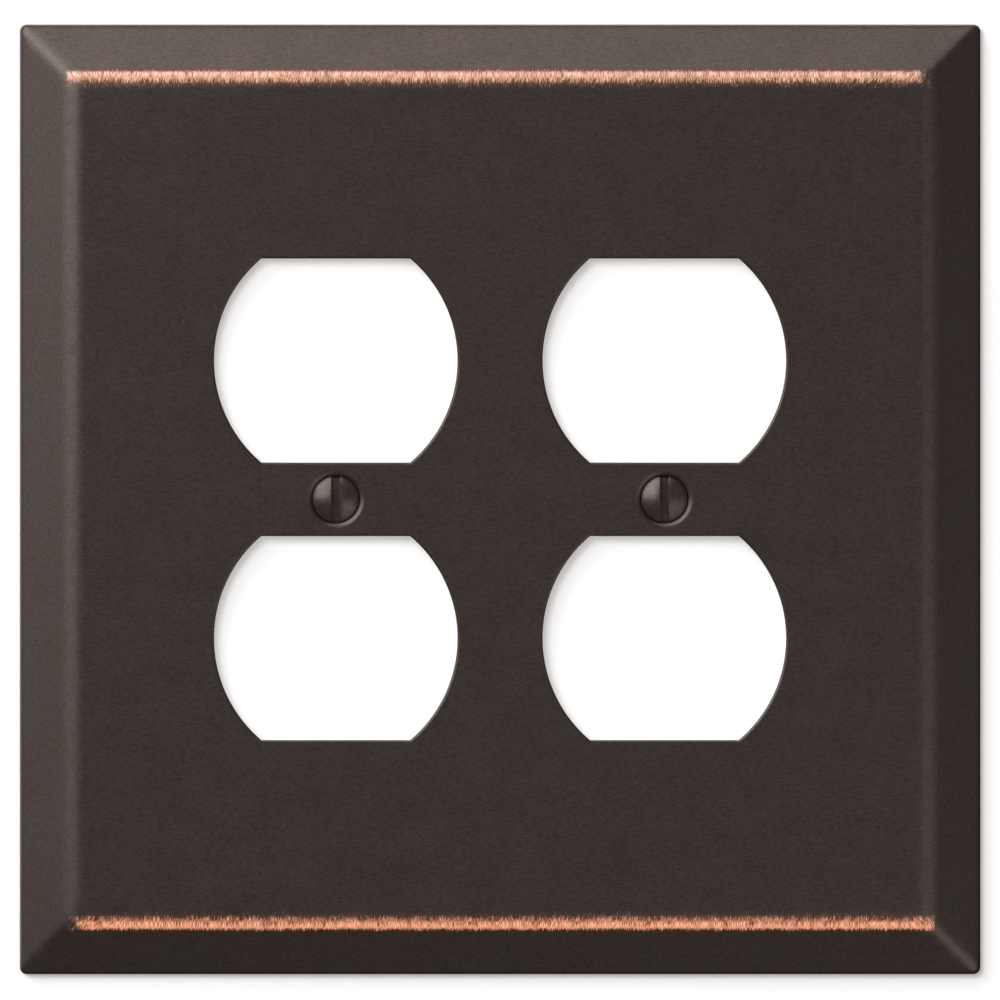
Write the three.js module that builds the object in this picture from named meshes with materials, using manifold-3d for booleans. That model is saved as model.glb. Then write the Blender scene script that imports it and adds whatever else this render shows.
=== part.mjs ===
// Two-gang duplex wall plate cover with its two mounting screws.
// Millimetres, +Z up. The origin is the centre of the plate in the plane of the wall,
// and the room side faces -Y.

import * as THREE from 'three'
import { mergeVertices } from 'three/addons/utils/BufferGeometryUtils.js'
import Module from 'manifold-3d'

const wasm = await Module()
wasm.setup()

// ---- Driving dimensions -----------------------------------------------------------------

// The pressed pan.
const PLATE_WIDTH = 134.9
const PLATE_HEIGHT = 133.35
const PLATE_DEPTH = 6.35
const SHEET = 0.8
const SKIRT_DEPTH = 2.2
const BEVEL_WIDTH = 7.5
const SKIRT_BEND_RADIUS = 1.0
const FACE_FOLD_RADIUS = 7.0
const CORNER_RADIUS = 1.0
const HOLLOW_CORNER_RADIUS = 0.4
const BEND_STEPS = 5
const FOLD_STEPS = 6
const CORNER_STEPS = 5

// The device layout: two yokes side by side, two receptacle faces on each.
const GANG_PITCH = 46.04
const RECEPTACLE_PITCH = 38.89
const OPENING_WIDTH = 34.11
const OPENING_FLATS = 28.58
const OPENING_SIDE_RADIUS = 18.7
const OPENING_ARC_STEPS = 24

// The screw: number 6, 32 threads to the inch, oval head with an 82 degree countersink.
const HEAD_DIAMETER = 6.66
const HEAD_CROWN = 1.0
const HEAD_LAND = 0.15
const HEAD_SINK = 0.35
const COUNTERSINK_HALF_ANGLE = THREE.MathUtils.degToRad(41)
const THREAD_DIAMETER = 3.505
const SCREW_LENGTH = 12.7
const POINT_LENGTH = 0.7
const POINT_DIAMETER = 2.6
const SLOT_WIDTH = 1.2
const SLOT_DEPTH = 1.5
const CROWN_STEPS = 6
const ROUND_STEPS = 32

// The drawn dimple that takes the screw's head.
const DIMPLE_DIAMETER = 8.6
const SCREW_HOLE_DIAMETER = 4.1
const HEAD_CLEARANCE = 0.25
const DIMPLE_NECK = 0.35
const DIMPLE_FILLET_REACH = 0.5
const DIMPLE_FILLET_DEPTH = 0.35
const LIP_STEPS = 4

// ---- Solids -----------------------------------------------------------------------------

const MERGE_DISTANCE = 1e-5

function toSolid(geometry) {
  const bare = geometry.clone()
  bare.deleteAttribute('normal')
  bare.deleteAttribute('uv')
  const merged = mergeVertices(bare, MERGE_DISTANCE)
  return new wasm.Manifold(
    new wasm.Mesh({
      numProp: 3,
      vertProperties: new Float32Array(merged.attributes.position.array),
      triVerts: new Uint32Array(merged.index.array)
    })
  )
}

function toGeometry(solid) {
  const mesh = solid.getMesh()
  const geometry = new THREE.BufferGeometry()
  geometry.setAttribute('position', new THREE.BufferAttribute(mesh.vertProperties, 3))
  geometry.setIndex(new THREE.BufferAttribute(mesh.triVerts, 1))
  geometry.computeVertexNormals()
  return geometry
}

// A solid of revolution about Y. The profile is a list of [radius, y], from high y to low y,
// and both its ends lie on the axis.
function turned(profile) {
  const points = profile.map(([radius, y]) => new THREE.Vector2(radius, y))
  return toSolid(new THREE.LatheGeometry(points.reverse(), ROUND_STEPS))
}

// ---- The pressed pan --------------------------------------------------------------------

// One level of the pan: a rectangle with round corners, inset from the plate's outline,
// at a height off the wall.
function roundedRing({ inset, height }, cornerRadius) {
  const halfWidth = PLATE_WIDTH / 2 - inset - cornerRadius
  const halfHeight = PLATE_HEIGHT / 2 - inset - cornerRadius
  const corners = [[1, 1], [-1, 1], [-1, -1], [1, -1]]
  return corners.flatMap(([sideX, sideZ], quarter) =>
    Array.from({ length: CORNER_STEPS + 1 }, (_, step) => {
      const angle = (quarter + step / CORNER_STEPS) * (Math.PI / 2)
      const x = sideX * halfWidth + cornerRadius * Math.cos(angle)
      const z = sideZ * halfHeight + cornerRadius * Math.sin(angle)
      return [x, -height, z]
    })
  )
}

// Levels from the wall outwards, joined by quads and closed by a fan at each end.
function stackedRings(levels, cornerRadius) {
  const rings = levels.map((level) => roundedRing(level, cornerRadius))
  const count = rings[0].length
  const triangles = []
  for (let level = 0; level + 1 < rings.length; level += 1) {
    for (let side = 0; side < count; side += 1) {
      const here = level * count + side
      const next = level * count + ((side + 1) % count)
      triangles.push(here, next, here + count, next, next + count, here + count)
    }
  }
  const top = (rings.length - 1) * count
  for (let side = 1; side + 1 < count; side += 1) {
    triangles.push(0, side + 1, side)
    triangles.push(top, top + side, top + side + 1)
  }
  const geometry = new THREE.BufferGeometry()
  geometry.setAttribute('position', new THREE.Float32BufferAttribute(rings.flat(2), 3))
  geometry.setIndex(triangles)
  return toSolid(geometry)
}

// The pan's section, at a depth of `offset` under its outer surface: up the skirt, round the
// bend, along the sloping border and over the fold into the face.
function panSection(offset) {
  const slope = Math.atan2(PLATE_DEPTH - SKIRT_DEPTH, BEVEL_WIDTH)
  const bendTurn = Math.PI / 2 - slope
  const bendSetback = SKIRT_BEND_RADIUS * Math.tan(bendTurn / 2)
  const foldSetback = FACE_FOLD_RADIUS * Math.tan(slope / 2)
  const bendCentre = { inset: SKIRT_BEND_RADIUS, height: SKIRT_DEPTH - bendSetback }
  const foldCentre = { inset: BEVEL_WIDTH + foldSetback, height: PLATE_DEPTH - FACE_FOLD_RADIUS }
  const levels = []
  for (let step = 0; step <= BEND_STEPS; step += 1) {
    const turn = (step / BEND_STEPS) * bendTurn
    const radius = SKIRT_BEND_RADIUS - offset
    levels.push({
      inset: bendCentre.inset - radius * Math.cos(turn),
      height: bendCentre.height + radius * Math.sin(turn)
    })
  }
  for (let step = 0; step <= FOLD_STEPS; step += 1) {
    const tilt = slope * (1 - step / FOLD_STEPS)
    const radius = FACE_FOLD_RADIUS - offset
    levels.push({
      inset: foldCentre.inset - radius * Math.sin(tilt),
      height: foldCentre.height + radius * Math.cos(tilt)
    })
  }
  return levels
}

function pressedPan() {
  const behindWall = -1
  const outside = [{ inset: 0, height: 0 }, ...panSection(0)]
  const hollow = [{ inset: SHEET, height: behindWall }, ...panSection(SHEET)]
  return stackedRings(outside, CORNER_RADIUS).subtract(stackedRings(hollow, HOLLOW_CORNER_RADIUS))
}

// The opening round a receptacle's face: flat above and below, with a wide arc at each side.
// Each arc's centre lies on the far side of the opening's own centre.
function receptacleOpening(x, z) {
  const radius = OPENING_SIDE_RADIUS
  const arcCentre = radius - OPENING_WIDTH / 2
  const flatAngle = Math.asin(OPENING_FLATS / 2 / radius)
  const outline = new THREE.Shape()
  outline.absarc(-arcCentre, 0, radius, -flatAngle, flatAngle, false)
  outline.absarc(arcCentre, 0, radius, Math.PI - flatAngle, Math.PI + flatAngle, false)
  const cutter = new THREE.ExtrudeGeometry(outline, {
    depth: 2 * PLATE_DEPTH,
    bevelEnabled: false,
    curveSegments: OPENING_ARC_STEPS
  })
  cutter.rotateX(Math.PI / 2)
  cutter.translate(x, 0, z)
  return toSolid(cutter)
}

// ---- The dimple and the screw, each about its own axis --------------------------------------

// Both have their origin in the plane of the plate's face, on the screw's axis.

const HEAD_EDGE_Y = HEAD_SINK
const CONE_TOP_Y = HEAD_EDGE_Y + HEAD_LAND
const CONE_TAPER = Math.tan(COUNTERSINK_HALF_ANGLE)
const CONE_END_Y = CONE_TOP_Y + (HEAD_DIAMETER - THREAD_DIAMETER) / 2 / CONE_TAPER

// Radius of the dimple's cone at a level, at a depth of `offset` into the sheet.
function dimpleConeRadius(y, offset) {
  const headCone = HEAD_DIAMETER / 2 - (y - CONE_TOP_Y) * CONE_TAPER
  return headCone + (HEAD_CLEARANCE + offset) / Math.cos(COUNTERSINK_HALF_ANGLE)
}

function coneLevel(radius, offset) {
  return CONE_TOP_Y + (dimpleConeRadius(CONE_TOP_Y, offset) - radius) / CONE_TAPER
}

// A flowing curve from the cone out to the flat sheet, level where it meets the sheet.
function rolledLip([coneRadius, coneY], [flatRadius, flatY]) {
  return Array.from({ length: LIP_STEPS + 1 }, (_, step) => {
    const part = step / LIP_STEPS
    const radius = THREE.MathUtils.lerp(coneRadius, flatRadius, part)
    return [radius, flatY + (coneY - flatY) * (1 - part) ** 2]
  })
}

// The room left by the dimple: a rolled lip, the cone for the head and the hole.
function dimpleHollow() {
  const holeRadius = SCREW_HOLE_DIAMETER / 2
  const lipRadius = DIMPLE_DIAMETER / 2
  const pastBack = 2 * PLATE_DEPTH
  return turned([
    [0, pastBack],
    [holeRadius, pastBack],
    [holeRadius, coneLevel(holeRadius, 0)],
    ...rolledLip([dimpleConeRadius(HEAD_SINK, 0), HEAD_SINK], [lipRadius, 0]),
    [lipRadius, -PLATE_DEPTH],
    [0, -PLATE_DEPTH]
  ])
}

// The sheet drawn back around the dimple, standing behind the face.
function dimpleBack() {
  const insideSheet = SHEET / 2
  const neckEndY = coneLevel(SCREW_HOLE_DIAMETER / 2, 0) + DIMPLE_NECK
  const filletY = SHEET + DIMPLE_FILLET_DEPTH
  const filletRadius = DIMPLE_DIAMETER / 2 + DIMPLE_FILLET_REACH
  return turned([
    [0, neckEndY],
    [dimpleConeRadius(neckEndY, SHEET), neckEndY],
    ...rolledLip([dimpleConeRadius(filletY, SHEET), filletY], [filletRadius, SHEET]),
    [filletRadius, insideSheet],
    [0, insideSheet]
  ])
}

// The crown, the countersunk head, the shank and the blunt point, with the slot cut across.
function screwSolid() {
  const headRadius = HEAD_DIAMETER / 2
  const threadRadius = THREAD_DIAMETER / 2
  const tipY = HEAD_EDGE_Y + SCREW_LENGTH
  const crownRadius = (headRadius ** 2 + HEAD_CROWN ** 2) / (2 * HEAD_CROWN)
  const crownTopY = HEAD_EDGE_Y - HEAD_CROWN
  const profile = [
    [0, tipY],
    [POINT_DIAMETER / 2, tipY],
    [threadRadius, tipY - POINT_LENGTH],
    [threadRadius, CONE_END_Y],
    [headRadius, CONE_TOP_Y]
  ]
  for (let step = 0; step <= CROWN_STEPS; step += 1) {
    const radius = headRadius * (1 - step / CROWN_STEPS)
    const rise = crownRadius - Math.sqrt(crownRadius ** 2 - radius ** 2)
    profile.push([radius, crownTopY + rise])
  }
  const slot = new THREE.BoxGeometry(SLOT_WIDTH, 2 * SLOT_DEPTH, 2 * HEAD_DIAMETER)
  slot.translate(0, crownTopY, 0)
  return turned(profile).subtract(toSolid(slot))
}

// ---- The assembly -----------------------------------------------------------------------

const SCREW_PLACES = { left_screw: -GANG_PITCH / 2, right_screw: GANG_PITCH / 2 }

function faceplateSolid() {
  let plate = pressedPan()
  for (const x of Object.values(SCREW_PLACES)) {
    plate = plate.add(dimpleBack().translate([x, -PLATE_DEPTH, 0]))
  }
  for (const x of Object.values(SCREW_PLACES)) {
    plate = plate.subtract(dimpleHollow().translate([x, -PLATE_DEPTH, 0]))
    plate = plate.subtract(receptacleOpening(x, RECEPTACLE_PITCH / 2))
    plate = plate.subtract(receptacleOpening(x, -RECEPTACLE_PITCH / 2))
  }
  return plate
}

function bronze(colour, roughness) {
  return new THREE.MeshStandardMaterial({ color: colour, roughness, metalness: 0.85 })
}

const group = new THREE.Group()

const faceplate = new THREE.Mesh(toGeometry(faceplateSolid()), bronze(0x3a3430, 0.45))
faceplate.name = 'faceplate'
group.add(faceplate)

for (const [name, x] of Object.entries(SCREW_PLACES)) {
  const screw = new THREE.Mesh(toGeometry(screwSolid()), bronze(0x4a403b, 0.35))
  screw.name = name
  screw.position.set(x, -PLATE_DEPTH, 0)
  group.add(screw)
}

export default group
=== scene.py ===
"""Looks of the two-gang duplex wall plate cover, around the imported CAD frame.

Metres, +Z up. The face looks towards -Y and the wall is the plane y = 0.
"""

import math

import bmesh
import bpy
import numpy as np
from mathutils import Matrix, Vector, geometry


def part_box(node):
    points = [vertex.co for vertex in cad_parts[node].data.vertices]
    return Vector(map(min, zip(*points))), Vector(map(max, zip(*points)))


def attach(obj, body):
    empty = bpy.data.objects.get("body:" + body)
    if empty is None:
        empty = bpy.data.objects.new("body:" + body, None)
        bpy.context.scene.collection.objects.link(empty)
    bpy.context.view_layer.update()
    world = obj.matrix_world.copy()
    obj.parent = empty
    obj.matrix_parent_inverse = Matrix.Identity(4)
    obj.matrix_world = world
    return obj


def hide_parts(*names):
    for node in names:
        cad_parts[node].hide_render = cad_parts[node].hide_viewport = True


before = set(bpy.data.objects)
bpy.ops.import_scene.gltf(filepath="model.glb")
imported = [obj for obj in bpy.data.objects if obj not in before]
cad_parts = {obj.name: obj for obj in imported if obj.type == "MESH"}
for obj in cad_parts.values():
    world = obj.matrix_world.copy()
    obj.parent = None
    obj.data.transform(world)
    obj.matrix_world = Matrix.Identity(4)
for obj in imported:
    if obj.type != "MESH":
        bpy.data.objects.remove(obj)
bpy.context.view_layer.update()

MM = 0.001

# ---- Sizes --------------------------------------------------------------------------------

plate_low, plate_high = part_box("faceplate")
HALF_WIDTH = plate_high.x
HALF_HEIGHT = plate_high.z
DEPTH = -plate_low.y

# The pressed sheet, as in the CAD model.
SHEET = 0.8 * MM
SKIRT_DEPTH = 2.2 * MM
BEVEL_WIDTH = 7.5 * MM
BEND_RADIUS = 1.0 * MM
FOLD_RADIUS = 7.0 * MM
CORNER_RADIUS = 1.0 * MM
HOLLOW_CORNER_RADIUS = 0.4 * MM

# Its fine detail: the rim's rounding, and the mitres, which grow soft just inside the outline.
RIM_ROUNDING = 0.12 * MM
MITRE_REACH = 2.9 * MM
MITRE_START = 0.5 * MM
MITRE_BLEND = 1.5 * MM

# The punched openings.
OPENING_HALF_WIDTH = 17.055 * MM
OPENING_HALF_FLAT = 14.29 * MM
OPENING_SIDE_RADIUS = 18.7 * MM
OPENING_RISE = 19.445 * MM
DIE_ROLL_WIDTH = 0.38 * MM
DIE_ROLL_DEPTH = 0.30 * MM
BREAKOUT = 0.05 * MM

# The 6-32 oval-head screw. Depths are under the face.
SCREW_NAMES = ("left_screw", "right_screw")
HEAD_RADIUS = 3.33 * MM
HEAD_CROWN = 1.0 * MM
HEAD_LAND = 0.15 * MM
HEAD_SINK = 0.35 * MM
HEAD_EDGE_ROUNDING = 0.10 * MM
COUNTERSINK_ANGLE = math.radians(41)
COUNTERSINK_TAPER = math.tan(COUNTERSINK_ANGLE)
THREAD_RADIUS = 1.7525 * MM
THREAD_ROOT_RADIUS = 1.32 * MM
THREAD_PITCH = 25.4 / 32 * MM
SCREW_LENGTH = 12.7 * MM
POINT_LENGTH = 0.7 * MM
POINT_RADIUS = 1.3 * MM
NECK_DROP = 0.12 * MM
NECK_STEP = 0.1 * MM
NECK_LENGTH = 0.35 * MM
SLOT_WIDTH = 1.2 * MM
SLOT_DEPTH = 1.5 * MM
SLOT_EDGE_BREAK = 0.12 * MM

# The drawn dimple, about the screw's axis: a rolled lip down to an edge, then the cone and hole.
SEAT_GAP = 0.03 * MM
DIMPLE_RADIUS = 4.12 * MM
DIMPLE_EDGE_RADIUS = 3.40 * MM
DIMPLE_EDGE_DEPTH = 0.29 * MM
HOLE_RADIUS = 2.05 * MM
DIMPLE_NECK = 0.35 * MM
DIMPLE_FILLET_REACH = 0.5 * MM
DIMPLE_FILLET_DEPTH = 0.35 * MM

# ---- Mesh tools ---------------------------------------------------------------------------

# The grid's row height and its clearance from any edge are shares of its spacing.
MERGE_DISTANCE = 1e-7
GRID_ROW = 0.866
GRID_CLEARANCE = 0.6


class Surface:
    """A mesh made of loops of points, bridged by quads or filled flat."""

    def __init__(self):
        self.bm = bmesh.new()

    def loop(self, points):
        return [self.bm.verts.new(p) for p in points]

    def bridge(self, loops, closed=True):
        """Quads from each loop to the next. All the loops have the same number of points."""
        for near, far in zip(loops, loops[1:]):
            count = len(near) if closed else len(near) - 1
            for i in range(count):
                j = (i + 1) % len(near)
                self.bm.faces.new((near[i], near[j], far[j], far[i]))

    def fill(self, outer, holes, spacing):
        """An even triangulation of the flat area inside outer and outside the holes."""
        y = outer[0].co.y
        verts = list(outer) + [v for hole in holes for v in hole]
        edges = []
        start = 0
        for ring in [outer, *holes]:
            count = len(ring)
            edges += [(start + i, start + (i + 1) % count) for i in range(count)]
            start += count
        flat = [Vector((v.co.x, v.co.z)) for v in verts]
        walls = [np.array([(v.co.x, v.co.z) for v in ring]) for ring in [outer, *holes]]
        for point in grid_points(walls, spacing):
            flat.append(Vector(point))
            verts.append(self.bm.verts.new((point[0], y, point[1])))
        _, _, faces, origin, _, _ = geometry.delaunay_2d_cdt(flat, edges, [], 0, MERGE_DISTANCE)
        for face in faces:
            corners = [origin[i][0] for i in face]
            middle = sum((flat[i] for i in corners), Vector((0, 0))) / 3
            if in_sheet(walls, middle):
                self.bm.faces.new([verts[i] for i in corners])

    def object(self, name, smooth_angle):
        bmesh.ops.remove_doubles(self.bm, verts=self.bm.verts, dist=MERGE_DISTANCE)
        bmesh.ops.recalc_face_normals(self.bm, faces=self.bm.faces)
        mesh = bpy.data.meshes.new(name)
        self.bm.to_mesh(mesh)
        self.bm.free()
        piece = bpy.data.objects.new(name, mesh)
        bpy.context.scene.collection.objects.link(piece)
        shade(piece, smooth_angle)
        return piece


def inside(ring, point):
    """Whether a point lies inside a closed ring of (x, z) points."""
    x, z = ring[:, 0], ring[:, 1]
    next_x, next_z = np.roll(x, -1), np.roll(z, -1)
    spans = (z > point[1]) != (next_z > point[1])
    with np.errstate(divide="ignore", invalid="ignore"):
        cross = (next_x - x) * (point[1] - z) / (next_z - z) + x
    return bool(np.count_nonzero(spans & (point[0] < cross)) % 2)


def in_sheet(walls, point):
    """Whether a point lies inside the first ring and outside the others."""
    return inside(walls[0], point) and not any(inside(hole, point) for hole in walls[1:])


def grid_points(walls, spacing):
    """Staggered points inside the first ring, outside the others and clear of them all."""
    low, high = walls[0].min(0), walls[0].max(0)
    edge = np.concatenate(walls)
    rows = int((high[1] - low[1]) / (spacing * GRID_ROW))
    for row in range(1, rows):
        z = low[1] + (high[1] - low[1]) * row / rows
        shift = (row % 2) * spacing / 2
        for x in np.arange(low[0] + spacing / 2 + shift, high[0], spacing):
            clear = np.hypot(edge[:, 0] - x, edge[:, 1] - z).min() > spacing * GRID_CLEARANCE
            if clear and in_sheet(walls, (x, z)):
                yield (x, z)


def shade(piece, smooth_angle):
    """Smooth shading, with sharp edges over an angle and flat areas kept flat."""
    piece.data.shade_smooth()
    piece.data.set_sharp_from_angle(angle=math.radians(smooth_angle))
    weighting = piece.modifiers.new("even_normals", "WEIGHTED_NORMAL")
    weighting.keep_sharp = True
    apply_modifiers(piece)


def apply_modifiers(piece):
    bpy.context.view_layer.objects.active = piece
    for modifier in list(piece.modifiers):
        bpy.ops.object.modifier_apply(modifier=modifier.name)


def arc(centre, radius, start, end, steps):
    """Points (u, v) round a centre, from one angle to another, in degrees."""
    for step in range(steps + 1):
        angle = math.radians(start + (end - start) * step / steps)
        yield (centre[0] + radius * math.cos(angle), centre[1] + radius * math.sin(angle))


def lerp(a, b, t):
    return a + (b - a) * t


# ---- The pressed faceplate ----------------------------------------------------------------

CORNER_STEPS = 12
SIDE_STEPS = 56
BEND_STEPS = 8
FOLD_STEPS = 14
BORDER_STEPS = 12
ARC_STEPS = 72
FLAT_STEPS = 24
DIE_ROLL_STEPS = 6
ROUND_STEPS = 72
LIP_STEPS = 8
FACE_SPACING = 4.0 * MM
PLATE_SHARP_ANGLE = 40


def corner_points(quarter, side, tip, radius, softness):
    """One corner, from a plain round one (softness 0) to the long soft curve of a mitre (1)."""
    centre = (tip[0] - side[0] * radius, tip[1] - side[1] * radius)
    round_corner = arc(centre, radius, quarter * 90, quarter * 90 + 90, CORNER_STEPS)
    for step, (x, z) in enumerate(round_corner):
        t = step / CORNER_STEPS
        shares = [MITRE_REACH * (1 - t) ** 3, MITRE_REACH * t ** 3]
        if quarter % 2:
            shares.reverse()
        soft = (tip[0] - side[0] * shares[1], tip[1] - side[1] * shares[0])
        yield (lerp(x, soft[0], softness), lerp(z, soft[1], softness))


def border_ring(inset, height, radius, softness=0.0):
    """A rectangle inset from the plate's outline, at a height off the wall."""
    half_x = HALF_WIDTH - inset
    half_z = HALF_HEIGHT - inset
    corners = [
        list(corner_points(quarter, side, (side[0] * half_x, side[1] * half_z), radius, softness))
        for quarter, side in enumerate([(1, 1), (-1, 1), (-1, -1), (1, -1)])
    ]
    points = []
    for corner, following in zip(corners, corners[1:] + corners[:1]):
        points += corner
        (start_x, start_z), (end_x, end_z) = corner[-1], following[0]
        for step in range(1, SIDE_STEPS):
            t = step / SIDE_STEPS
            points.append((lerp(start_x, end_x, t), lerp(start_z, end_z, t)))
    return [(x, -height, z) for x, z in points]


def mitre_softness(inset):
    """The outline's corners are plain round ones, and the mitres are soft from just inside it."""
    t = min(1.0, max(0.0, (inset - MITRE_START) / MITRE_BLEND))
    return t * t * (3 - 2 * t)


def border_section(offset):
    """(inset, height) up the skirt, round the bend, over the border and fold into the face."""
    slope = math.atan2(DEPTH - SKIRT_DEPTH, BEVEL_WIDTH)
    turn = math.pi / 2 - slope
    bend_height = SKIRT_DEPTH - BEND_RADIUS * math.tan(turn / 2)
    fold_inset = BEVEL_WIDTH + FOLD_RADIUS * math.tan(slope / 2)
    bend = [
        (BEND_RADIUS - (BEND_RADIUS - offset) * math.cos(a),
         bend_height + (BEND_RADIUS - offset) * math.sin(a))
        for a in np.linspace(0, turn, BEND_STEPS + 1)
    ]
    fold = [
        (fold_inset - (FOLD_RADIUS - offset) * math.sin(a),
         DEPTH - FOLD_RADIUS + (FOLD_RADIUS - offset) * math.cos(a))
        for a in np.linspace(slope, 0, FOLD_STEPS + 1)
    ]
    slope_points = [
        (lerp(bend[-1][0], fold[0][0], t), lerp(bend[-1][1], fold[0][1], t))
        for t in np.linspace(0, 1, BORDER_STEPS + 1)[1:-1]
    ]
    return bend + slope_points + fold


def opening_ring(centre_x, centre_z, grow, y):
    """A receptacle opening's outline, wide arcs joined by two flats, grown by a little."""
    radius = OPENING_SIDE_RADIUS + grow
    half_flat = OPENING_HALF_FLAT + grow
    corner = math.degrees(math.asin(half_flat / radius))
    centre = (OPENING_HALF_WIDTH - OPENING_SIDE_RADIUS, 0)
    right = list(arc(centre, radius, -corner, corner, ARC_STEPS))
    left = [(-x, -z) for x, z in right]
    points = []
    for here, there in ((right, left), (left, right)):
        points += here
        for step in range(1, FLAT_STEPS):
            t = step / FLAT_STEPS
            points.append((lerp(here[-1][0], there[0][0], t), here[-1][1]))
    return [(centre_x + x, y, centre_z + z) for x, z in points]


def opening_section():
    """(grow, depth under the face) of a punched edge: rolled over in front, broken out behind."""
    roll = [
        (DIE_ROLL_WIDTH * (1 - math.sin(a)), DIE_ROLL_DEPTH * (1 - math.cos(a)))
        for a in np.linspace(0, math.pi / 2, DIE_ROLL_STEPS + 1)
    ]
    return roll + [(0.0, SHEET - BREAKOUT), (BREAKOUT, SHEET)]


def dimple_cone_radius(y, offset):
    """Radius of the dimple's cone at a depth under the face, at a depth into the sheet."""
    head = HEAD_RADIUS - (y - HEAD_SINK - HEAD_LAND) * COUNTERSINK_TAPER
    return head + (SEAT_GAP + offset) / math.cos(COUNTERSINK_ANGLE)


def rolled_lip(cone, flat):
    """A flowing curve of (radius, y) from the cone out to the flat sheet."""
    for t in np.linspace(0, 1, LIP_STEPS + 1):
        yield (lerp(cone[0], flat[0], t), flat[1] + (cone[1] - flat[1]) * (1 - t) ** 2)


def dimple_section():
    """(radius, depth under the face) from the front of the face, through the hole, to its back."""
    seat_y = HEAD_SINK + HEAD_LAND
    seat_radius = dimple_cone_radius(seat_y, 0)
    hole_y = seat_y + (seat_radius - HOLE_RADIUS) / COUNTERSINK_TAPER
    neck_y = hole_y + DIMPLE_NECK
    fillet_y = SHEET + DIMPLE_FILLET_DEPTH
    front_lip = rolled_lip((DIMPLE_EDGE_RADIUS, DIMPLE_EDGE_DEPTH), (DIMPLE_RADIUS, 0))
    back_lip = rolled_lip(
        (dimple_cone_radius(fillet_y, SHEET), fillet_y),
        (DIMPLE_RADIUS + DIMPLE_FILLET_REACH, SHEET),
    )
    hole = [(seat_radius, seat_y), (HOLE_RADIUS, hole_y), (HOLE_RADIUS, neck_y)]
    back = [(dimple_cone_radius(neck_y, SHEET), neck_y)]
    return list(front_lip)[::-1] + hole + back + list(back_lip)


def round_ring(centre_x, radius, y, steps):
    turn = 360 * (1 - 1 / steps)
    return [(centre_x + x, y, z) for x, z in arc((0, 0), radius, 0, turn, steps - 1)]


def screw_axis_x(name):
    low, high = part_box(name)
    return (low.x + high.x) / 2


def make_faceplate():
    surface = Surface()
    front = [(0.0, RIM_ROUNDING), *border_section(0.0)]
    back = [(SHEET, RIM_ROUNDING), *border_section(SHEET)]
    front_loops = [
        surface.loop(border_ring(i, h, CORNER_RADIUS, mitre_softness(i))) for i, h in front
    ]
    back_loops = [
        surface.loop(border_ring(i, h, HOLLOW_CORNER_RADIUS, mitre_softness(i - SHEET)))
        for i, h in back
    ]
    rim = [
        surface.loop(border_ring(RIM_ROUNDING, 0.0, CORNER_RADIUS - RIM_ROUNDING)),
        surface.loop(border_ring(SHEET - RIM_ROUNDING, 0.0, HOLLOW_CORNER_RADIUS + RIM_ROUNDING)),
    ]
    surface.bridge(front_loops)
    surface.bridge(back_loops)
    surface.bridge([front_loops[0], *rim, back_loops[0]])
    front_holes, back_holes = [], []
    for name in SCREW_NAMES:
        x = screw_axis_x(name)
        for z in (OPENING_RISE, -OPENING_RISE):
            rings = [surface.loop(opening_ring(x, z, g, d - DEPTH)) for g, d in opening_section()]
            surface.bridge(rings)
            front_holes.append(rings[0])
            back_holes.append(rings[-1])
        rings = [
            surface.loop(round_ring(x, radius, depth - DEPTH, ROUND_STEPS))
            for radius, depth in dimple_section()
        ]
        surface.bridge(rings)
        front_holes.append(rings[0])
        back_holes.append(rings[-1])
    surface.fill(front_loops[-1], front_holes, FACE_SPACING)
    surface.fill(back_loops[-1], back_holes, FACE_SPACING)
    return surface.object("faceplate_pressing", PLATE_SHARP_ANGLE)


# ---- The screws ---------------------------------------------------------------------------

# The crest, root and run-out are in turns of the thread. The head's rounded edge is two points,
# in from its side and down from its top by these shares of its rounding.
SCREW_STEPS = 64
CROWN_STEPS = 14
THREAD_ROWS = 14
THREAD_CREST = 1 / 8
THREAD_ROOT = 1 / 4
RUN_OUT = 1.2
HEAD_EDGE_POINTS = ((0.3, 0.2), (0.0, 0.8))
SCREW_SHARP_ANGLE = 35
ON_SLOT_WALL = 1e-6


def thread_radius(phase):
    """The 60 degree thread's radius: a narrow crest, two flanks and a wider root."""
    away = abs(((phase + 0.5) % 1.0) - 0.5)
    share = (0.5 - THREAD_ROOT / 2 - away) / (0.5 - THREAD_ROOT / 2 - THREAD_CREST / 2)
    return lerp(THREAD_ROOT_RADIUS, THREAD_RADIUS, min(1.0, max(0.0, share)))


def thread_loops(surface, place, start_y, end_y):
    """The helical thread from start_y to end_y, running out into the root at its start."""
    row_height = THREAD_PITCH / THREAD_ROWS
    rows = int((end_y - start_y) / row_height) + 2
    grid = []
    for row in range(-THREAD_ROWS, rows):
        ring = []
        for column in range(SCREW_STEPS + 1):
            part = column / SCREW_STEPS
            y = min(end_y, max(start_y, start_y + (row + part * THREAD_ROWS) * row_height))
            phase = (y - start_y) / THREAD_PITCH - part
            fade = min(1.0, (y - start_y) / (RUN_OUT * THREAD_PITCH))
            radius = lerp(THREAD_ROOT_RADIUS, thread_radius(phase), fade)
            chamfer = POINT_RADIUS + (end_y - y) * (THREAD_RADIUS - POINT_RADIUS) / POINT_LENGTH
            radius = min(radius, chamfer)
            angle = 2 * math.pi * part
            ring.append(place(radius * math.sin(angle), y, radius * math.cos(angle)))
        grid.append(surface.loop(ring))
    surface.bridge(grid, closed=False)


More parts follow.
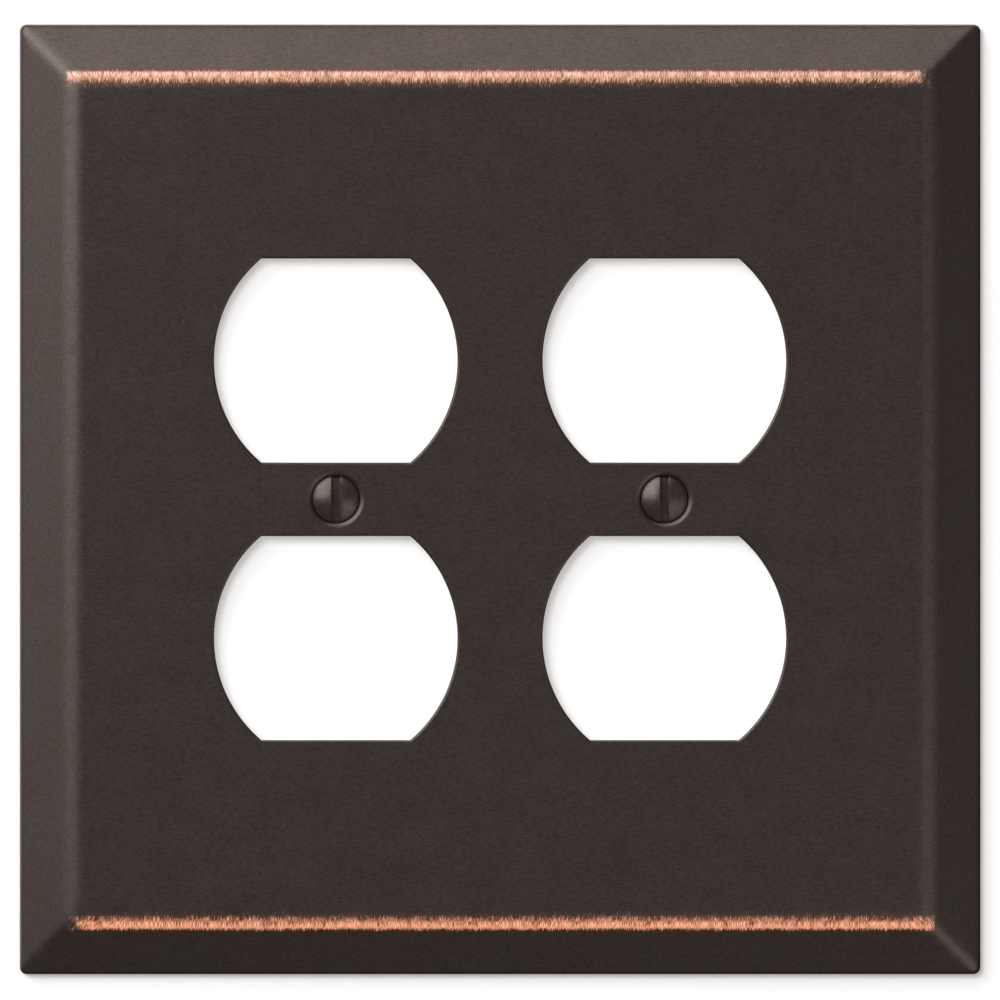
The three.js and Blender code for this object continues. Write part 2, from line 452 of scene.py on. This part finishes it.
def head_profile(crown_y, cone_end):
    """(radius, depth under the face) from the crown, over the head's edge and down its cone."""
    crown_radius = (HEAD_RADIUS ** 2 + HEAD_CROWN ** 2) / (2 * HEAD_CROWN)
    profile = []
    for step in range(1, CROWN_STEPS + 1):
        radius = (HEAD_RADIUS - HEAD_EDGE_ROUNDING) * step / CROWN_STEPS
        rise = crown_radius - math.sqrt(crown_radius ** 2 - radius ** 2)
        profile.append((radius, crown_y + rise))
    for inward, down in HEAD_EDGE_POINTS:
        radius = HEAD_RADIUS - inward * HEAD_EDGE_ROUNDING
        profile.append((radius, HEAD_SINK + down * HEAD_EDGE_ROUNDING))
    return profile + [(HEAD_RADIUS, HEAD_SINK + HEAD_LAND), (THREAD_RADIUS, cone_end)]


def make_screw(name, piece_name):
    axis_x = screw_axis_x(name)
    surface = Surface()

    def place(x, y, z):
        return (axis_x + x, y - DEPTH, z)

    def round_loop(radius, y):
        angles = [2 * math.pi * i / SCREW_STEPS for i in range(SCREW_STEPS)]
        return surface.loop([place(radius * math.sin(a), y, radius * math.cos(a)) for a in angles])

    def close(ring, y):
        middle = surface.bm.verts.new(place(0, y, 0))
        for i in range(SCREW_STEPS):
            surface.bm.faces.new((ring[i], ring[(i + 1) % SCREW_STEPS], middle))

    crown_y = HEAD_SINK - HEAD_CROWN
    cone_end = HEAD_SINK + HEAD_LAND + (HEAD_RADIUS - THREAD_RADIUS) / COUNTERSINK_TAPER
    thread_start = cone_end + NECK_LENGTH
    tip_y = HEAD_SINK + SCREW_LENGTH
    neck = [
        (THREAD_ROOT_RADIUS + NECK_STEP, cone_end + NECK_DROP),
        (THREAD_ROOT_RADIUS, thread_start),
    ]
    rings = [round_loop(radius, y) for radius, y in head_profile(crown_y, cone_end) + neck]
    surface.bridge(rings)
    thread_loops(surface, place, thread_start, tip_y)
    close(rings[0], crown_y)
    close(round_loop(POINT_RADIUS, tip_y), tip_y)
    screw = surface.object(piece_name, SCREW_SHARP_ANGLE)
    cut_slot(screw, Vector((axis_x, crown_y - DEPTH, 0)))
    return screw


def cut_slot(screw, crown):
    """Mills the slot across the head and breaks its edges."""
    cutter_mesh = bpy.data.meshes.new("slot_cutter")
    bm = bmesh.new()
    size = Matrix.Diagonal((SLOT_WIDTH, 2 * SLOT_DEPTH, 4 * HEAD_RADIUS, 1))
    bmesh.ops.create_cube(bm, size=1.0, matrix=Matrix.Translation(crown) @ size)
    bm.to_mesh(cutter_mesh)
    bm.free()
    cutter = bpy.data.objects.new("slot_cutter", cutter_mesh)
    bpy.context.scene.collection.objects.link(cutter)
    cut = screw.modifiers.new("slot", "BOOLEAN")
    cut.object = cutter
    cut.operation = "DIFFERENCE"
    cut.solver = "EXACT"
    apply_modifiers(screw)
    bpy.data.objects.remove(cutter)
    bm = bmesh.new()
    bm.from_mesh(screw.data)
    edge_angle = math.radians(SCREW_SHARP_ANGLE)
    rim = [
        edge for edge in bm.edges
        if len(edge.link_faces) == 2
        and edge.calc_face_angle() > edge_angle
        and max(v.co.y for v in edge.verts) < HEAD_SINK - DEPTH + HEAD_LAND
        and all(abs(abs(v.co.x - crown.x) - SLOT_WIDTH / 2) < ON_SLOT_WALL for v in edge.verts)
    ]
    bmesh.ops.bevel(
        bm,
        geom=rim,
        offset=SLOT_EDGE_BREAK,
        segments=2,
        profile=0.5,
        affect="EDGES",
        clamp_overlap=True,
    )
    bm.to_mesh(screw.data)
    bm.free()
    shade(screw, SCREW_SHARP_ANGLE)


# ---- Node helpers -------------------------------------------------------------------------


class Finish:
    """A material whose nodes are added one call at a time."""

    def __init__(self, name):
        self.material = bpy.data.materials.new(name)
        self.material.use_nodes = True
        self.tree = self.material.node_tree
        self.shader = self.tree.nodes["Principled BSDF"]
        self.coordinates = self.add("ShaderNodeTexCoord")

    def add(self, kind, **settings):
        node = self.tree.nodes.new(kind)
        for key, value in settings.items():
            setattr(node, key, value)
        return node

    def put(self, socket, value):
        """Links a socket to another, or sets its value."""
        if isinstance(value, bpy.types.NodeSocket):
            self.tree.links.new(value, socket)
        else:
            socket.default_value = value

    def math(self, operation, a, b=0.0, c=0.0):
        node = self.add("ShaderNodeMath", operation=operation)
        for socket, value in zip(node.inputs, (a, b, c)):
            self.put(socket, value)
        return node.outputs[0]

    def stretched(self, scale):
        node = self.add("ShaderNodeVectorMath", operation="MULTIPLY")
        self.put(node.inputs[0], self.coordinates.outputs["Object"])
        self.put(node.inputs[1], scale)
        return node.outputs[0]

    def noise(self, vector, detail=2.0, roughness=0.5):
        node = self.add("ShaderNodeTexNoise")
        self.put(node.inputs["Vector"], vector)
        self.put(node.inputs["Scale"], 1.0)
        self.put(node.inputs["Detail"], detail)
        self.put(node.inputs["Roughness"], roughness)
        return node.outputs["Fac"]

    def cells(self, scale, detail=2.0, roughness=0.5):
        """Noise with its cells 1 / scale metres across, along each axis."""
        return self.noise(self.stretched(scale), detail, roughness)

    def ramp(self, value, low, high, out_low=0.0, out_high=1.0, kind="SMOOTHSTEP"):
        """A step from out_low at low to out_high at high, smooth or straight."""
        node = self.add("ShaderNodeMapRange", interpolation_type=kind)
        for socket, number in zip(node.inputs, (value, low, high, out_low, out_high)):
            self.put(socket, number)
        return node.outputs[0]

    def mix(self, share, a, b, blend="MIX"):
        node = self.add("ShaderNodeMix", data_type="RGBA", blend_type=blend)
        self.put(node.inputs["Factor"], share)
        self.put(node.inputs[6], a)
        self.put(node.inputs[7], b)
        return node.outputs[2]

    def front(self):
        """1 on the side that faces the room, 0 on the back and in the hollow."""
        return self.ramp(self.axes("Normal")[1], -0.2, -0.6)

    def axes(self, kind="Object"):
        node = self.add("ShaderNodeSeparateXYZ")
        self.put(node.inputs[0], self.coordinates.outputs[kind])
        return node.outputs

    def bump(self, height, distance, normal=None):
        node = self.add("ShaderNodeBump")
        self.put(node.inputs["Height"], height)
        self.put(node.inputs["Distance"], distance)
        self.put(node.inputs["Strength"], 1.0)
        if normal is not None:
            self.put(node.inputs["Normal"], normal)
        return node.outputs["Normal"]


# ---- Finishes -----------------------------------------------------------------------------

BRONZE_RED = (0.082, 0.065, 0.059, 1)
BRONZE_OLIVE = (0.077, 0.066, 0.060, 1)
BRONZE_DARK = (0.044, 0.035, 0.031, 1)
# Lighter bronze for rubbed wear, also used for the painted highlight along the plate's folds.
BRONZE_WEAR_AND_HIGHLIGHT = (0.140, 0.115, 0.104, 1)
COPPER_SHADOW = (0.100, 0.042, 0.026, 1)
COPPER_BROWN = (0.140, 0.066, 0.042, 1)
COPPER_TOP = (0.610, 0.340, 0.245, 1)
COPPER_BOTTOM = (0.860, 0.355, 0.200, 1)
COPPER_INNER_TINT = (1.0, 0.84, 0.70, 1)
# A near-white mixed into the brightest strokes: painted glints.
COPPER_GLINT = (1.0, 0.95, 0.90, 1)

# Noise cells to the metre along x, y and z.
MOTTLE = (160, 160, 220)
GRAIN = (1500, 5000, 5200)
PLATE_WEAR_AND_HIGHLIGHT = (500, 500, 500)
SCREW_WEAR = (700, 700, 700)
GRAIN_DARKENING = 0.70
GRAIN_RELIEF = 0.004 * MM
SCREW_GRAIN_RELIEF = 0.002 * MM
COPPER_RELIEF = 0.006 * MM
BRONZE_METALLIC = 0.9
COPPER_METALLIC = 0.15

# The copper shows through along the top and bottom folds. These are distances in from the
# plate's edge: where half of the strokes start, where they all lie, and where half have ended.
# The last two put the top's band a little further in than the bottom's.
BURNISH_START = 6.65 * MM
BURNISH_CORE = 7.00 * MM
BURNISH_END = 7.72 * MM
BURNISH_RISE = -0.08 * MM
BURNISH_SIDE_SHIFT = 0.06 * MM

# How fast the strokes thin out past those, per metre, and the two ends of the bands. At each end
# the strokes thin out from END_FADE in to END_STOP, from further in at two of the corners.
BURNISH_OUTER_RATE = 550.0
BURNISH_INNER_RATE = 190.0
END_FADE = 8.9 * MM
END_FADE_LEAN = 1.6 * MM
END_STOP = 6.2 * MM

# The strokes: cells to the metre across and along them, and how they clump, sway and lean over.
STROKES_ACROSS = 17000.0
STROKES_ALONG = 1100.0
STROKE_CLUMP = (900, 1, 300)
STROKE_SWAY = (70, 1, 1)
STROKE_COVER = -0.570
STROKE_CLUMPING = 0.14
STROKE_POLISH = 0.25
SWAY_RANGE = 0.9
SWAY_START = -0.36
CORNER_LEAN = 0.55


def aged_bronze(finish, wear_and_highlight):
    """The dark satin finish: mottled brown, a fine horizontal grain, lighter where rubbed and
    along the plate's folds, where the lighter band is partly a painted highlight.
    """
    mottle = finish.cells(MOTTLE, detail=4.0, roughness=0.6)
    grain = finish.cells(GRAIN, detail=3.0, roughness=0.6)
    colour = finish.mix(finish.ramp(mottle, 0.35, 0.65), BRONZE_RED, BRONZE_OLIVE)
    dark_share = finish.ramp(grain, 0.62, 0.30, 0.0, GRAIN_DARKENING)
    colour = finish.mix(dark_share, colour, BRONZE_DARK)
    colour = finish.mix(wear_and_highlight, colour, BRONZE_WEAR_AND_HIGHLIGHT)
    return colour, mottle, grain


def copper_strokes(finish, inset_x, inset_z):
    """Noise drawn out into bristle strokes across the folds, and its slower clumps."""
    x, _, z = finish.axes()
    side_z = finish.math("SIGN", z)
    corner = finish.math("MULTIPLY", finish.math("SIGN", x), side_z)
    local_z = finish.math("MULTIPLY", side_z, finish.math("SUBTRACT", BURNISH_CORE, inset_z))
    sway = finish.cells(STROKE_SWAY, detail=1.0)
    sway = finish.math("MULTIPLY_ADD", sway, SWAY_RANGE, SWAY_START)
    near_corner = finish.ramp(inset_x, 16 * MM, 7 * MM, 0.0, CORNER_LEAN)
    lean = finish.math("ADD", sway, finish.math("MULTIPLY", corner, near_corner))
    stroke_x = finish.math("SUBTRACT", x, finish.math("MULTIPLY", local_z, lean))
    along = finish.add("ShaderNodeCombineXYZ")
    finish.put(along.inputs[0], finish.math("MULTIPLY", stroke_x, STROKES_ACROSS))
    finish.put(along.inputs[2], finish.math("MULTIPLY", z, STROKES_ALONG))
    bristle = finish.noise(along.outputs[0], detail=1.5, roughness=0.6)
    return bristle, finish.cells(STROKE_CLUMP, detail=1.0), side_z, corner


def copper_show(finish, bristle, clump, side_z, corner, inset_x, inset_z):
    """How much copper shows: a stroke shows where its noise is over a limit.

    The limit rises away from the core of the band, and towards the band's two ends.
    """
    shift = finish.math("MULTIPLY", side_z, BURNISH_SIDE_SHIFT)
    depth = finish.math("SUBTRACT", inset_z, shift)
    past_end = finish.math("SUBTRACT", depth, BURNISH_END)
    before_start = finish.math("SUBTRACT", BURNISH_START, depth)
    inner = finish.math("MULTIPLY", past_end, BURNISH_INNER_RATE)
    outer = finish.math("MULTIPLY", before_start, BURNISH_OUTER_RATE)
    fade_start = finish.math("MULTIPLY_ADD", corner, END_FADE_LEAN, END_FADE)
    thinning = finish.ramp(inset_x, END_STOP, fade_start, 0.25, -0.14, kind="LINEAR")
    limit = finish.math("MAXIMUM", finish.math("MAXIMUM", inner, outer), thinning)
    limit = finish.math("ADD", limit, finish.ramp(inset_x, 6.6 * MM, 5.8 * MM, 0.0, 0.8))
    cover = finish.math("MULTIPLY_ADD", clump, STROKE_CLUMPING, STROKE_COVER)
    field = finish.math("SUBTRACT", finish.math("ADD", bristle, cover), limit)
    return finish.ramp(field, -0.10, 0.11)


def copper_colour(finish, bristle, clump, inset_z):
    """Redder along the bottom, with brighter strokes and a few pale glints that are painted
    highlights.
    """
    z = finish.axes()[2]
    copper = finish.mix(finish.ramp(z, -MM, MM), COPPER_BOTTOM, COPPER_TOP)
    inward = finish.ramp(inset_z, 6.9 * MM, 7.8 * MM)
    copper = finish.mix(inward, copper, COPPER_INNER_TINT, blend="MULTIPLY")
    polish = finish.math("MULTIPLY_ADD", clump, STROKE_POLISH, bristle)
    shine = finish.ramp(polish, 0.47, 0.78, 0.45, 1.36)
    shine = finish.math("MULTIPLY", shine, finish.ramp(inset_z, 7.4 * MM, 8.7 * MM, 1.0, 0.6))
    tone = finish.add("ShaderNodeVectorMath", operation="SCALE")
    finish.put(tone.inputs[0], copper)
    finish.put(tone.inputs["Scale"], shine)
    # Painted highlights: the brightest strokes are mixed towards COPPER_GLINT.
    return finish.mix(finish.ramp(polish, 0.59, 0.87, 0.0, 0.22), tone.outputs[0], COPPER_GLINT)


def copper_burnish(finish, inset_x, inset_z):
    """How much copper shows, and its colour: bristle strokes across the top and bottom folds."""
    bristle, clump, side_z, corner = copper_strokes(finish, inset_x, inset_z)
    show = copper_show(finish, bristle, clump, side_z, corner, inset_x, inset_z)
    return show, copper_colour(finish, bristle, clump, inset_z)


def fold_wear_and_highlight(finish, inset):
    """A faint lighter band along the fold, all round the face: partly rubbed wear, partly a
    painted highlight.
    """
    outer = finish.ramp(inset, 6.3 * MM, 7.3 * MM)
    inner = finish.ramp(inset, 8.6 * MM, 7.9 * MM)
    patchiness = finish.cells(PLATE_WEAR_AND_HIGHLIGHT, detail=3.0, roughness=0.6)
    band = finish.math("MULTIPLY", outer, inner)
    return finish.math("MULTIPLY", band, finish.ramp(patchiness, 0.25, 0.7, 0.05, 0.25))


def copper_ground(finish, inset_x, inset_z):
    """The brown under and between the strokes: its share, fading out to each side, and colour."""
    outer = finish.ramp(inset_z, 5.8 * MM, 6.4 * MM, 0.0, 0.75)
    inner = finish.ramp(inset_z, 9.3 * MM, 7.9 * MM)
    share = finish.math("MULTIPLY", outer, inner)
    share = finish.math("MULTIPLY", share, finish.ramp(inset_x, 6.8 * MM, 11.0 * MM))
    inward = finish.ramp(inset_z, 6.4 * MM, 7.0 * MM)
    return share, finish.mix(inward, COPPER_SHADOW, COPPER_BROWN)


def plate_finish():
    finish = Finish("aged_bronze_plate")
    x, _, z = finish.axes()
    inset_x = finish.math("SUBTRACT", HALF_WIDTH, finish.math("ABSOLUTE", x))
    inset_z = finish.math("SUBTRACT", HALF_HEIGHT, finish.math("ABSOLUTE", z))
    inset = finish.math("MINIMUM", inset_x, inset_z)
    burnish_z = finish.math("MULTIPLY_ADD", finish.math("SIGN", z), BURNISH_RISE, inset_z)
    front = finish.front()
    # The fold's lighter band, on the front only: rubbed wear and a painted highlight.
    wear_and_highlight = finish.math("MULTIPLY", fold_wear_and_highlight(finish, inset), front)
    colour, mottle, grain = aged_bronze(finish, wear_and_highlight)
    show, copper = copper_burnish(finish, inset_x, burnish_z)
    show = finish.math("MULTIPLY", show, front)
    under, brown = copper_ground(finish, inset_x, burnish_z)
    colour = finish.mix(finish.math("MULTIPLY", under, front), colour, brown)
    colour = finish.mix(show, colour, copper)

    metallic = finish.ramp(show, 0.0, 1.0, BRONZE_METALLIC, COPPER_METALLIC)
    rough = finish.ramp(mottle, 0.3, 0.7, 0.33, 0.38)
    grain_rough = finish.math("MULTIPLY", finish.math("SUBTRACT", grain, 0.5), 0.12)
    fine = finish.bump(grain, GRAIN_RELIEF)
    finish.put(finish.shader.inputs["Base Color"], colour)
    finish.put(finish.shader.inputs["Metallic"], metallic)
    finish.put(finish.shader.inputs["Roughness"], finish.math("ADD", rough, grain_rough))
    finish.put(finish.shader.inputs["Normal"], finish.bump(show, COPPER_RELIEF, normal=fine))
    return finish.material


def screw_finish():
    finish = Finish("aged_bronze_screw")
    patchiness = finish.cells(SCREW_WEAR, detail=3.0, roughness=0.6)
    colour, mottle, grain = aged_bronze(finish, finish.ramp(patchiness, 0.45, 0.75, 0.0, 0.25))
    finish.put(finish.shader.inputs["Base Color"], colour)
    finish.put(finish.shader.inputs["Metallic"], BRONZE_METALLIC)
    finish.put(finish.shader.inputs["Roughness"], finish.ramp(mottle, 0.3, 0.7, 0.32, 0.38))
    finish.put(finish.shader.inputs["Normal"], finish.bump(grain, SCREW_GRAIN_RELIEF))
    return finish.material


# ---- The object ---------------------------------------------------------------------------

faceplate = make_faceplate()
faceplate.data.materials.append(plate_finish())
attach(faceplate, "plate")
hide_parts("faceplate")

screw_material = screw_finish()
for cad_name in SCREW_NAMES:
    screw = make_screw(cad_name, f"{cad_name}_threaded")
    screw.data.materials.append(screw_material)
    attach(screw, f"{cad_name}_body")
    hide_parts(cad_name)

# ---- The stage ----------------------------------------------------------------------------

FRAME_WIDTH = 140.41 * MM
SILHOUETTE_Y = -1.6 * MM
CAMERA_Z = -0.10 * MM
LENS = 500.0
SENSOR = 36.0
VIEW_LIMIT = 20.0

# The wall is a sheet just behind the plate. A second one inside the hollow shows in the openings.
WALL_Y = 0.4 * MM
WALL_HALF = 0.6
INNER_WALL_Y = -2.0 * MM
INNER_WALL_INSET = 9 * MM
WALL_SHADE = 0.64
WALL_GLOW = 0.24
OPENING_GLOW = 0.34
FLOOR_Z = -0.45
FLOOR_HALF = 4.0
FLOOR_SHADE = 0.85
FLOOR_GLOW = 0.4

# Soft panels in front of the plate: name, (x, z) of the low and high corners, radiance, and
# whether the metal mirrors them.
PANEL_DISTANCE = 1.2
PANELS = (
    ("key", (-2.3, 0.15), (-0.39, 2.8), 4.1, True),
    ("top", (-0.6, 1.28), (0.42, 2.5), 2.65, True),
    ("low_right", (0.25, -1.65), (1.65, -0.13), 1.1, True),
    ("front", (-0.36, 0.04), (-0.04, 0.39), 26.0, False),
)

# The world's light by direction: dim in the room, and behind the plate brighter to the upper left.
WORLD_COLOUR = (1.0, 0.87, 0.83, 1)
ROOM_LIGHT = 0.265
ROOM_END_Y = -0.1
BEHIND_START_Y = 0.2
RIM_LIGHT_LOW = 0.13
RIM_LIGHT_HIGH = 2.4
RIM_REACH = 0.8


def backdrop(name, shade_value, glow):
    material = bpy.data.materials.new(name)
    material.use_nodes = True
    shader = material.node_tree.nodes["Principled BSDF"]
    shader.inputs["Base Color"].default_value = (shade_value, shade_value, shade_value, 1)
    shader.inputs["Roughness"].default_value = 0.9
    shader.inputs["Specular IOR Level"].default_value = 0.0
    shader.inputs["Emission Color"].default_value = (1, 1, 1, 1)
    shader.inputs["Emission Strength"].default_value = glow
    return material


def one_sided(material):
    """Lets a wall be seen from the room only, so that the plate's back shows from behind."""
    tree = material.node_tree
    shader = tree.nodes["Principled BSDF"]
    output = tree.nodes["Material Output"]
    clear = tree.nodes.new("ShaderNodeBsdfTransparent")
    side = tree.nodes.new("ShaderNodeNewGeometry")
    mix = tree.nodes.new("ShaderNodeMixShader")
    tree.links.new(side.outputs["Backfacing"], mix.inputs[0])
    tree.links.new(shader.outputs[0], mix.inputs[1])
    tree.links.new(clear.outputs[0], mix.inputs[2])
    tree.links.new(mix.outputs[0], output.inputs[0])
    return material


def flat_sheet(name, corners, material):
    mesh = bpy.data.meshes.new(name)
    mesh.from_pydata(corners, [], [(0, 1, 2, 3)])
    mesh.materials.append(material)
    sheet = bpy.data.objects.new(name, mesh)
    sheet.visible_diffuse = False
    sheet.visible_glossy = False
    bpy.context.scene.collection.objects.link(sheet)
    return sheet


def rectangle(half_u, half_v):
    return [(-half_u, -half_v), (half_u, -half_v), (half_u, half_v), (-half_u, half_v)]


def make_stage():
    inner_half_x = HALF_WIDTH - INNER_WALL_INSET
    inner_half_z = HALF_HEIGHT - INNER_WALL_INSET
    walls = (
        ("wall", WALL_Y, WALL_HALF, WALL_HALF, WALL_GLOW),
        ("wall_in_openings", INNER_WALL_Y, inner_half_x, inner_half_z, OPENING_GLOW),
    )
    for name, y, half_x, half_z, glow in walls:
        corners = [(x, y, z) for x, z in rectangle(half_x, half_z)]
        sheet = flat_sheet(name, corners, one_sided(backdrop(f"{name}_white", WALL_SHADE, glow)))
        sheet.visible_shadow = False
    corners = [(x, y, FLOOR_Z) for x, y in rectangle(FLOOR_HALF, FLOOR_HALF)]
    flat_sheet("floor", corners, backdrop("floor_pale", FLOOR_SHADE, FLOOR_GLOW))


def make_camera():
    """Far off and square to the wall, with FRAME_WIDTH in view at SILHOUETTE_Y."""
    data = bpy.data.cameras.new("camera")
    data.lens = LENS
    data.sensor_width = SENSOR
    data.clip_end = VIEW_LIMIT
    camera = bpy.data.objects.new("camera", data)
    camera.location = (0, SILHOUETTE_Y - FRAME_WIDTH * LENS / SENSOR, CAMERA_Z)
    camera.rotation_euler = (math.pi / 2, 0, 0)
    bpy.context.scene.collection.objects.link(camera)
    bpy.context.scene.camera = camera


def make_lights():
    for name, low, high, radiance, mirrored in PANELS:
        width, height = high[0] - low[0], high[1] - low[1]
        data = bpy.data.lights.new(name, "AREA")
        data.shape = "RECTANGLE"
        data.size, data.size_y = width, height
        data.energy = radiance * math.pi * width * height
        light = bpy.data.objects.new(name, data)
        light.location = ((low[0] + high[0]) / 2, -PANEL_DISTANCE, (low[1] + high[1]) / 2)
        light.rotation_euler = (math.pi / 2, 0, 0)
        light.visible_camera = False
        light.visible_glossy = mirrored
        bpy.context.scene.collection.objects.link(light)


def make_world():
    """Pure white to the camera. The plate is lit by WORLD_COLOUR at a strength by direction."""
    world = bpy.data.worlds.new("studio")
    bpy.context.scene.world = world
    world.use_nodes = True
    tree = world.node_tree
    direction = tree.nodes.new("ShaderNodeTexCoord").outputs["Generated"]
    axes = tree.nodes.new("ShaderNodeSeparateXYZ")
    tree.links.new(direction, axes.inputs[0])
    to_upper_left = tree.nodes.new("ShaderNodeMath")
    to_upper_left.operation = "SUBTRACT"
    tree.links.new(axes.outputs["Z"], to_upper_left.inputs[0])
    tree.links.new(axes.outputs["X"], to_upper_left.inputs[1])
    rim = tree.nodes.new("ShaderNodeMapRange")
    tree.links.new(to_upper_left.outputs[0], rim.inputs[0])
    for socket, number in zip(rim.inputs[1:5], (0.0, RIM_REACH, RIM_LIGHT_LOW, RIM_LIGHT_HIGH)):
        socket.default_value = number
    strength = tree.nodes.new("ShaderNodeMapRange")
    tree.links.new(axes.outputs["Y"], strength.inputs[0])
    for socket, number in zip(strength.inputs[1:4], (ROOM_END_Y, BEHIND_START_Y, ROOM_LIGHT)):
        socket.default_value = number
    tree.links.new(rim.outputs[0], strength.inputs[4])
    light = tree.nodes["Background"]
    light.inputs["Color"].default_value = WORLD_COLOUR
    tree.links.new(strength.outputs[0], light.inputs["Strength"])
    seen = tree.nodes.new("ShaderNodeBackground")
    seen.inputs["Color"].default_value = (1, 1, 1, 1)
    path = tree.nodes.new("ShaderNodeLightPath")
    mix = tree.nodes.new("ShaderNodeMixShader")
    tree.links.new(path.outputs["Is Camera Ray"], mix.inputs[0])
    tree.links.new(light.outputs[0], mix.inputs[1])
    tree.links.new(seen.outputs[0], mix.inputs[2])
    tree.links.new(mix.outputs[0], tree.nodes["World Output"].inputs[0])


make_stage()
make_camera()
make_lights()
make_world()
bpy.context.scene.view_settings.view_transform = "Standard"
